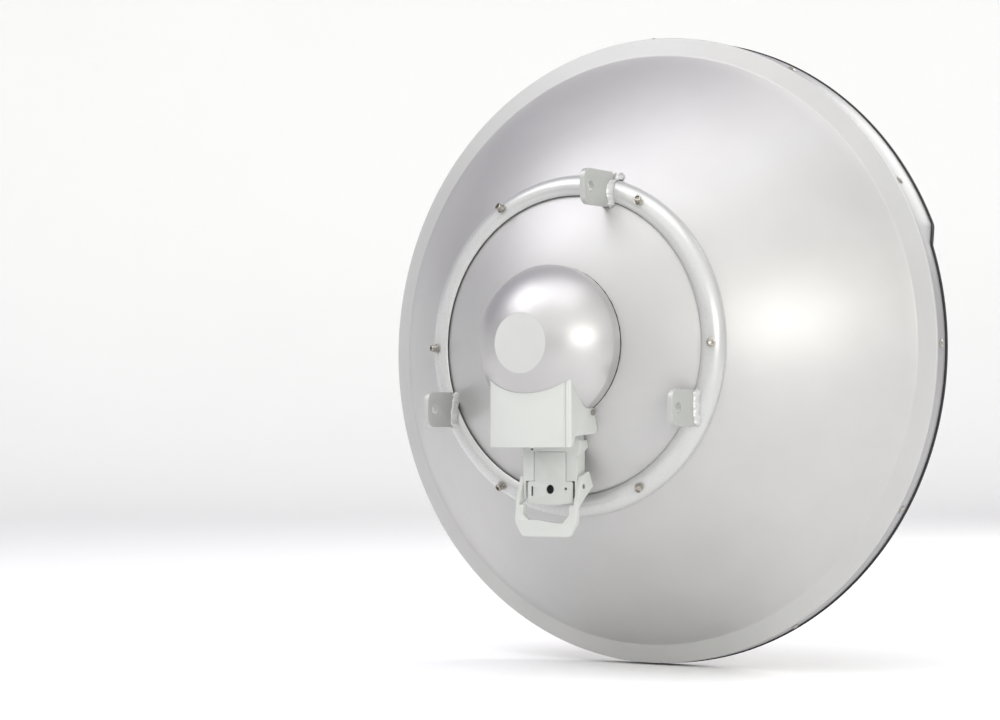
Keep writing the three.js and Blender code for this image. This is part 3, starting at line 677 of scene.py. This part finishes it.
def ear_plate(node):
    """A lasered plate: square where it is welded, rounded behind, with its edges broken."""
    centre = middle(node)
    half = (high(node).z - low(node).z) / 2
    back = high(node).y
    outline = rounded([
        (low(node).y, centre.z - half), (back, centre.z - half, EAR_CORNER_R),
        (back, centre.z + half, EAR_CORNER_R), (low(node).y, centre.z + half),
    ], step=9)
    plate = prism(node, outline, "X", low(node).x, high(node).x)
    hole = prism("hole", circle(EAR_HOLE_R, 0, centre.z, 40), "X", low(node).x - 5, high(node).x + 5)
    ring_section = ring_arc(GAP, 0, math.pi, 24) + [ring_point(-RING_HALF, -25), ring_point(RING_HALF, -25)]
    ring_tool = turned("ring_tool", ring_section, 180)
    surface = [above_dish(100 + 5 * i, 0.5) for i in range(22)]
    dish_tool = turned("dish_tool", surface + [(205, -150), (100, -150)], 180)
    cut = combined(plate, ("DIFFERENCE", hole), ("DIFFERENCE", ring_tool), ("DIFFERENCE", dish_tool))
    mesh = eased(cut, 0.8, 3)
    piece(node + "_plate", mesh, "ear_paint", replaces=[node])


def weld(node):
    """A hand-laid fillet weld along both faces of an ear: slight ripples, with a lump at each end."""
    centre = middle(node)
    half = (high(node).z - low(node).z) / 2
    for side, tag in ((-1, "a"), (1, "b")):
        face = low(node).x if side < 0 else high(node).x
        sections = []
        for k in range(WELD_STEPS + 1):
            share = k / WELD_STEPS
            z = centre.z + (2 * share - 1) * (half + 1.0)
            foot = ring_top(math.hypot(face, z))
            taper = min(1.0, 9 * share, 9 * (1 - share))
            waves = abs(math.sin(share * math.pi * WELD_RIPPLES))
            ripple = 1 + 0.07 * waves + 0.3 * noise.noise((share * 6, face, 3.1))
            lump = math.exp(-((share - 0.07) * 16) ** 2) + math.exp(-((share - 0.93) * 16) ** 2)
            leg_up = (5.0 * ripple + 1.6 * lump) * taper + 0.8
            leg_out = (3.4 * ripple + 1.4 * lump) * taper + 0.6
            section = []
            for j in range(13):
                turn = math.pi * j / 12
                out = leg_out * (0.5 - 0.5 * math.cos(turn)) * (1 + 0.25 * math.sin(turn))
                up = leg_up * (0.5 + 0.5 * math.cos(turn)) * (1 + 0.25 * math.sin(turn))
                section.append((face + side * out, foot + up, z))
            section.append((face, foot - 0.6, z))
            sections.append(section)
        mesh = swept(f"{node}_weld_{tag}", sections, closed_path=False)
        piece(f"{node}_weld_{tag}", mesh, "ear_paint", look="ring_paint", angle=60)


# ------------------------------------------------------------------ hub

DOME_RISE = HUB_FLAT_Y - HUB_SHOULDER_Y
DOME_CENTRE_Y = (HUB_FLAT_Y**2 + HUB_FLAT_R**2 - HUB_SHOULDER_Y**2 - HUB_R**2) / (2 * DOME_RISE)
DOME_R = math.hypot(HUB_R, HUB_SHOULDER_Y - DOME_CENTRE_Y)


def dome_arc(grow, steps):
    """The dome's section from its shoulder up to the flat disc, grown outwards by a distance."""
    radius = DOME_R + grow
    start = math.acos((HUB_R + grow) / radius)
    end = math.asin((HUB_FLAT_Y + grow - DOME_CENTRE_Y) / radius)
    turns = [start + (end - start) * k / steps for k in range(steps + 1)]
    return [(radius * math.cos(t), DOME_CENTRE_Y + radius * math.sin(t)) for t in turns]


def hub_dome():
    """The domed cover, with a rolled foot and a flat disc on its crown."""
    outside = dome_arc(0, 32)
    shoulder = rounded([
        (HUB_R - 0.4, HUB_BASE_Y, 0.5), (HUB_R, HUB_BASE_Y + 0.6, 0.4), outside[0], outside[1],
    ], closed=False)
    crown = rounded([
        outside[-2], (HUB_FLAT_R + 0.2, HUB_FLAT_Y, 1.2), (HUB_FLAT_R - 3, HUB_FLAT_Y), (0, HUB_FLAT_Y),
    ], closed=False)
    inside = dome_arc(-HUB_WALL, 16)
    outline = shoulder[:-1] + outside[1:-2] + crown + [(0, HUB_FLAT_Y - HUB_WALL)] + inside[::-1]
    outline += [(HUB_R - HUB_WALL, HUB_BASE_Y)]
    mesh = turned("hub_dome", outline, 192)
    piece("hub_dome", mesh, "hub_paint", replaces=["hub_housing"])
    # The flat disc is the same moulding as the dome; its lighter, less metallic copy of the paint is painted
    # shade.
    mesh.materials.append(LOOKS["hub_flat"])
    for face in mesh.polygons:
        r = math.hypot(face.center.x, face.center.z) / MM
        if r < HUB_FLAT_R - 0.3 and face.center.y / MM > HUB_FLAT_Y - 0.5:
            face.material_index = 1


# ------------------------------------------------------------------ neck


def dome_radius(y):
    """The hub's radius, with its clearance, at a depth."""
    if y <= HUB_SHOULDER_Y:
        return HUB_R + GAP
    return math.sqrt(max(0.0, (DOME_R + GAP) ** 2 - (y - DOME_CENTRE_Y) ** 2))


def neck_plan():
    """The neck's outline from below, from one front edge round the bulged back to the other.

    Only one back corner has the upright groove.
    """
    bulge = NECK_BULGE_Y - NECK_EDGE_Y
    radius = (NECK_HALF**2 + bulge**2) / (2 * bulge)
    centre = NECK_BULGE_Y - radius
    swing = math.asin((NECK_HALF - 4) / radius)
    back = [(radius * math.sin(swing * t), centre + radius * math.cos(swing * t)) for t in
            [1 - k / 14 for k in range(29)]]
    corner = [(NECK_HALF, NECK_EDGE_Y - 4), (NECK_HALF, NECK_EDGE_Y - 0.6, 2.2), back[0], back[1]]
    left = rounded(corner, closed=False, step=10)[1:-2]
    length = NECK_EDGE_Y - 5 - NECK_FRONT_Y
    side = [(NECK_HALF, NECK_FRONT_Y + length * k / 26) for k in range(27)]
    edge = back[0][1]
    groove = [(42.0, edge), (41.6, edge - 0.9), (40.8, edge - 0.9), (40.4, edge + 0.3)]
    plain = side + left + back[:15]
    grooved = side + left + groove + back[1:15]
    return plain + [(-x, y) for x, y in grooved[-2::-1]]


# The lower edge seen from the side, as (y, z) corners from the dish outwards.
NECK_FOOT = [
    (-14.0, -79.5), (-10.0, -79.5), (-7.2, -84.4), (-3.7, -86.7), (28.5, -89.1), (33.1, -99.6),
    (60, NECK_BOTTOM_Z),
]


def neck_foot(y):
    """Height of the neck's lower edge: level sides, and a lower skirt behind."""
    for (y0, z0), (y1, z1) in zip(NECK_FOOT, NECK_FOOT[1:]):
        if y0 <= y <= y1:
            return z0 + (z1 - z0) * (y - y0) / (y1 - y0)
    return NECK_BOTTOM_Z


def neck():
    """Walls that run from the drip skirt up to the dome, offset inwards for their thickness."""
    plan = neck_plan()
    rows = 26
    drawn = NECK_BLEND_Y - NECK_FRONT_Y
    outer, inner = [], []
    for i, (x, y) in enumerate(plan):
        ahead = Vector(plan[min(i + 1, len(plan) - 1)])
        behind = Vector(plan[max(i - 1, 0)])
        along = (ahead - behind).normalized()
        inwards = Vector((along.y, -along.x))
        if inwards.dot(Vector((x, y - 10))) > 0:
            inwards = -inwards
        foot = neck_foot(y)
        column_out, column_in = [], []
        for k in range(rows + 1):
            share = k / rows
            for wall, column in ((0.0, column_out), (NECK_WALL, column_in)):
                px, py = x + inwards.x * wall, y + inwards.y * wall
                top = -math.sqrt(max(0.0, dome_radius(py) ** 2 - px**2))
                z = foot + (top - foot) * share
                front = dish_y(math.hypot(px, z)) + 0.5
                if y > NECK_BLEND_Y:
                    py = max(py, front)
                else:
                    py = front + (py - NECK_FRONT_Y) * (NECK_BLEND_Y - front) / drawn
                column.append((px, py, z))
        outer.append(column_out)
        inner.append(column_in)
    sections = [o + n[::-1] for o, n in zip(outer, inner)]
    mesh = swept("neck_shell", sections, closed_path=False)
    mesh = eased(mesh, 0.3, 2, 40)
    piece("neck_shell", mesh, "white_plastic", replaces=["neck_housing"], angle=30)


# ------------------------------------------------------------------ port bay, door and handle

BAY_HALF = 31.0
BAY_FACE_Y = 1.7
BAY_PLATE = 1.5
BAY_BED_Y = -12.6  # underside of the channel's floor
BAY_FLOOR_Y = -10.6
BAY_BRIDGE_Z = -93.1
BAY_WALL_X = 28.5  # inner face of the channel's walls
FIN_X = 33.5
SLOT_HALF = 18.8
SLOT_TOP_Z = -104.3
SLOT_BOTTOM_Z = -132.7
PIVOT_Y = -4.0
PIVOT_Z = -138.0
PIN_HOLE_R = 2.5
DOOR_HALF = 26.0
HANDLE_INNER = 26.5
LOBE_INNER = 31.4
GRIP_DEPTH = 14.6


def span(side, near, far):
    """The lower and the upper X of a stretch on one side of the middle."""
    return min(side * near, side * far), max(side * near, side * far)


def pin_hole(side):
    return prism("pin_hole", circle(PIN_HOLE_R, PIVOT_Y, PIVOT_Z, 24), "X", *span(side, 24, 40))


def port_bay():
    """The channel behind the door: walls with guide fins, a floor painted black as shade in the recess, and
    a slotted back plate.
    """
    front = low("port_bay").y
    bottom, top = low("port_bay").z, high("port_bay").z
    inner_face = BAY_FACE_Y - BAY_PLATE
    slot = (SLOT_BOTTOM_Z, SLOT_TOP_Z + 1)
    channel = box("bay", -BAY_HALF, BAY_HALF, BAY_BED_Y, BAY_FLOOR_Y, bottom, top)
    bridge = box("bridge", -BAY_HALF, BAY_HALF, inner_face, BAY_FACE_Y, SLOT_TOP_Z, BAY_BRIDGE_Z)
    parts = [("UNION", bridge)]
    fin = [
        (BAY_FACE_Y, BAY_BRIDGE_Z), (-14.6, BAY_BRIDGE_Z), (front, -99.9), (0, -108.5), (BAY_FACE_Y, -108.5),
    ]
    for side in (-1, 1):
        parts += [
            ("UNION", box("wall", *span(side, BAY_WALL_X, BAY_HALF), BAY_BED_Y, BAY_FACE_Y, bottom, top)),
            ("UNION", box("plate", *span(side, SLOT_HALF, BAY_HALF), inner_face, BAY_FACE_Y, *slot)),
            ("UNION", box("lip", *span(side, 16.5, 29.5), inner_face - 1.5, inner_face - GAP, *slot)),
            ("UNION", box("web", *span(side, SLOT_HALF, 30), inner_face - 1, inner_face + 1, *slot)),
            ("UNION", prism("fin", fin, "X", *span(side, 30, FIN_X))),
        ]
    surface = [above_dish(4 * i, 0.5) for i in range(44)]
    surface[0] = (0, surface[0][1])
    parts.append(("DIFFERENCE", turned("dish_tool", surface + [(200, -150), (0, -150)], 120)))
    parts += [("DIFFERENCE", pin_hole(side)) for side in (-1, 1)]
    parts.append(("DIFFERENCE", prism("dot", circle(1.2, -101.9, 20.8, 20), "Y", inner_face - 1, 4)))
    mesh = eased(combined(channel, *parts), 0.3, 2)
    piece("bay_channel", mesh, "white_plastic", replaces=["port_bay"])
    # The channel floor gets the black button rubber: painted shade, so the slots and holes look dark.
    mesh.materials.append(LOOKS["button_rubber"])
    for face in mesh.polygons:
        if face.center.y / MM < -9 and face.normal.y > 0.7 and abs(face.center.x / MM) < 29:
            face.material_index = 1


def cable_door():
    """T-shaped sliding door with its round knock-out, a slot and a small round hole."""
    top, jog = SLOT_TOP_Z - GAP, SLOT_BOTTOM_Z - GAP
    back, front = high("cable_door").y, low("cable_door").y
    foot = low("cable_door").z
    tongue = SLOT_HALF - 0.8
    across = [DOOR_HALF - 2 * DOOR_HALF * k / 14 for k in range(15)]
    bow = [(foot + 2.3 * (x / DOOR_HALF) ** 2, x) for x in across]
    outline = rounded([
        (top, -tongue, 0.8), (top, tongue, 0.8), (jog, tongue, 0.8), (jog, DOOR_HALF, 2.5), *bow,
        (jog, -DOOR_HALF, 2.5), (jog, -tongue, 0.8),
    ], step=15)
    plate = prism("door", outline, "Y", front, back)
    slot = rounded([(-147.6, 19.6, 0.9), (-137.9, 19.6, 0.9), (-137.9, 22.0, 0.9), (-147.6, 22.0, 0.9)])
    holes = [
        ("knock_out", circle(4.5, -140.8, 0, 36)),
        ("slot", slot),
        ("dot", circle(1.4, -140.2, -18.0, 20)),
    ]
    cuts = [("DIFFERENCE", prism(name, hole, "Y", front - 4, back + 4)) for name, hole in holes]
    mesh = eased(combined(plate, *cuts), 0.3, 2)
    piece("door_plate", mesh, "white_plastic", body="door", replaces=["cable_door"])


def bail_handle():
    """The bail: cam lobes on the pivot pins, arms, and a grip with a waved inner edge."""
    node = "release_handle"
    outer = high(node).x
    inner = HANDLE_INNER
    grip_low, back = low(node).z, high(node).y
    grip_high = grip_low + GRIP_DEPTH
    profile = rounded([
        (3.7, -155.5), (8.4, -155.5, 12), (back, grip_high + 1, 10),
        (back, grip_low, 1.5), (4.6, grip_low, 1.5), (4.6, grip_high, 10),
    ], step=8)
    waist = outer - 8.2
    frontal = rounded([
        (-150, -outer), (-150, outer), (grip_low + 14, outer, 8), (grip_low + 0.8, waist, 7),
        (grip_low, waist - 6, 12), (grip_low, -waist + 6, 12),
        (grip_low + 0.8, -waist, 7), (grip_low + 14, -outer, 8),
    ], step=8)
    wave = [(grip_high + 1.6 * math.sin((x / inner) * math.pi * 0.9) + 0.4, x)
            for x in [-20 + 40 * k / 24 for k in range(25)]]
    window = rounded([
        (-140, -inner), (grip_high + 7, -inner, 3), *wave, (grip_high + 7, inner, 3), (-140, inner),
    ], step=10)
    bail = combined(
        prism("bail", profile, "X", -outer, outer),
        ("INTERSECT", prism("frontal", frontal, "Y", -30, 30)),
        ("DIFFERENCE", prism("window", window, "Y", -40, 40)),
    )
    lobe = rounded([
        (0.1, -128.2, 1), (-13, -123.2, 1.5), (-20.8, -137.9, 1.5), (-6, -149, 4), (4.2, -158), (8.7, -158),
        (7.9, -151.8, 6),
    ], step=12)
    parts = [("UNION", prism("lobe", lobe, "X", *span(side, LOBE_INNER, outer))) for side in (-1, 1)]
    parts += [("DIFFERENCE", pin_hole(side)) for side in (-1, 1)]
    mesh = eased(combined(bail, *parts), 0.9, 3, 30)
    piece("bail", mesh, "white_plastic", body="handle", replaces=[node])


# ------------------------------------------------------------------ making the object

reflector()
rim_band()
rim_trim()
rivets()
radome()
mounting_ring()
ring_screws()
for ear in ("ear_left", "ear_right", "ear_top"):
    ear_plate(ear)
    weld(ear)
hub_dome()
neck()
port_bay()
cable_door()
bail_handle()

# ------------------------------------------------------------------ floor, light and camera

WARM = (1.0, 1.0, 0.955)
COOL = (0.965, 0.945, 1.0)
LIGHT_AIM = Vector((0, -0.08, 0))
SKY_BRIGHT = (1.0, 1.0, 0.975)
SKY_DIM = (0.165, 0.155, 0.2)
SKY_STRENGTH = 1.27

# The floor, in metres and degrees of azimuth.
BEND_REACH = 5.0
BEND_R = 3.0
WALL_TOP = 3.6
FLOOR_REACH = 36.0
RISE_REACH = 18.0
RISE_HEIGHT = 6.0
WALL_AZIMUTH = 33
WALL_HALF_WIDTH = 34
WALL_FADE = 12


def toward(azimuth, elevation):
    """The direction in which a view's camera stands, as the views count their angles."""
    a, e = azimuth * DEG, elevation * DEG
    return Vector((math.sin(a) * math.cos(e), -math.cos(a) * math.cos(e), math.sin(e)))


def floor():
    """A wide pale floor with a raised far rim, and a bent-up wall on the side opposite the camera."""
    ground = CAD_BOX[0].z
    bend = [math.pi / 2 * k / 12 for k in range(13)]
    profile = [(0, 0)]
    profile += [(BEND_REACH + BEND_R * math.sin(t), BEND_R - BEND_R * math.cos(t)) for t in bend]
    profile.append((BEND_REACH + BEND_R, WALL_TOP))
    flat = [(0, 0)]
    for k in range(14):
        reach = BEND_REACH + (FLOOR_REACH - BEND_REACH) * (k / 13) ** 1.5
        climb = max(0.0, reach - RISE_REACH) / (FLOOR_REACH - RISE_REACH)
        flat.append((reach, RISE_HEIGHT * climb**2))
    segments = 120
    points, faces = [], []
    for i in range(segments):
        azimuth = 360 * i / segments
        away = abs((azimuth - WALL_AZIMUTH + 180) % 360 - 180)
        raised = min(1.0, max(0.0, (WALL_HALF_WIDTH - away) / WALL_FADE))
        raised = raised * raised * (3 - 2 * raised)
        out = toward(azimuth, 0)
        for (r, z), (flat_r, flat_z) in zip(profile, flat):
            reach = flat_r + (r - flat_r) * raised
            points.append((out.x * reach, out.y * reach, ground + flat_z + (z - flat_z) * raised))
    count = len(profile)
    for i in range(segments):
        here, there = i * count, (i + 1) % segments * count
        faces += [(here + k, there + k, there + k + 1, here + k + 1) for k in range(count - 1)]
    mesh = bpy.data.meshes.new("floor")
    mesh.from_pydata(points, [], faces)
    mesh.shade_smooth()
    n = Nodes("studio_white")
    n.shader.inputs["Roughness"].default_value = 0.9
    n.shader.inputs["Specular IOR Level"].default_value = 0.1
    tone = n.noise(1.5, 2.0)
    n.colours(tone, (0.3, (0.955, 0.955, 0.955)), (0.7, (0.965, 0.965, 0.965)))
    mesh.materials.append(n.material)
    made = bpy.data.objects.new("floor", mesh)
    bpy.context.scene.collection.objects.link(made)


def sky():
    """Soft surrounding light: bright on the camera's side, fading to a dim lavender opposite it."""
    world = bpy.data.worlds.new("studio")
    world.use_nodes = True
    tree = world.node_tree
    place = tree.nodes.new("ShaderNodeTexCoord")
    dot = tree.nodes.new("ShaderNodeVectorMath")
    dot.operation = "DOT_PRODUCT"
    dot.inputs[1].default_value = toward(30, 4)
    ramp = tree.nodes.new("ShaderNodeValToRGB")
    ramp.color_ramp.interpolation = "EASE"
    stops = ramp.color_ramp.elements
    stops[0].position, stops[0].color = 0.15, (*SKY_BRIGHT, 1)
    stops[1].position, stops[1].color = 0.8, (*SKY_DIM, 1)
    spread = tree.nodes.new("ShaderNodeMapRange")
    spread.inputs["From Min"].default_value = -1
    back = tree.nodes["Background"]
    back.inputs["Strength"].default_value = SKY_STRENGTH
    tree.links.new(place.outputs["Generated"], dot.inputs[0])
    tree.links.new(dot.outputs["Value"], spread.inputs["Value"])
    tree.links.new(spread.outputs["Result"], ramp.inputs["Fac"])
    tree.links.new(ramp.outputs["Color"], back.inputs["Color"])
    bpy.context.scene.world = world


def softbox(name, azimuth, elevation, distance, width, height, power, colour):
    """An area light that looks at the object from an azimuth and elevation."""
    back = toward(azimuth, elevation)
    data = bpy.data.lights.new(name, "AREA")
    data.shape = "RECTANGLE"
    data.size, data.size_y = width, height
    data.energy = power
    data.color = colour
    made = bpy.data.objects.new(name, data)
    made.location = LIGHT_AIM + back * distance
    made.rotation_euler = back.to_track_quat("Z", "Y").to_euler()
    bpy.context.scene.collection.objects.link(made)


def studio():
    sky()
    softbox("strip", 236, 9, 2.6, 1.2, 0.6, 17, WARM)
    softbox("upper_left", 128, 50, 2.8, 1.6, 1.4, 23, COOL)
    softbox("overhead", 195, 72, 2.8, 2.4, 2.0, 24, COOL)
    softbox("front", 342, 32, 3.0, 2.0, 1.6, 44, WARM)
    bpy.context.scene.view_settings.view_transform = "Standard"


def camera():
    azimuth, elevation, roll = 210.13, -1.88, -0.18 * DEG
    distance = 2.5096
    aim = Vector((-0.0196, -0.2014, -0.0004))
    back = toward(azimuth, elevation)
    data = bpy.data.cameras.new("camera")
    data.lens, data.sensor_width = 86.75, 36
    data.shift_x, data.shift_y = -0.172, -0.01
    data.clip_start, data.clip_end = 0.05, 100
    made = bpy.data.objects.new("camera", data)
    made.location = aim + back * distance
    made.rotation_mode = "QUATERNION"
    made.rotation_quaternion = (
        Matrix.Rotation(roll, 4, back) @ back.to_track_quat("Z", "Y").to_matrix().to_4x4()
    ).to_quaternion()
    bpy.context.scene.collection.objects.link(made)
    bpy.context.scene.camera = made


floor()
studio()
camera()

bpy.context.view_layer.update()
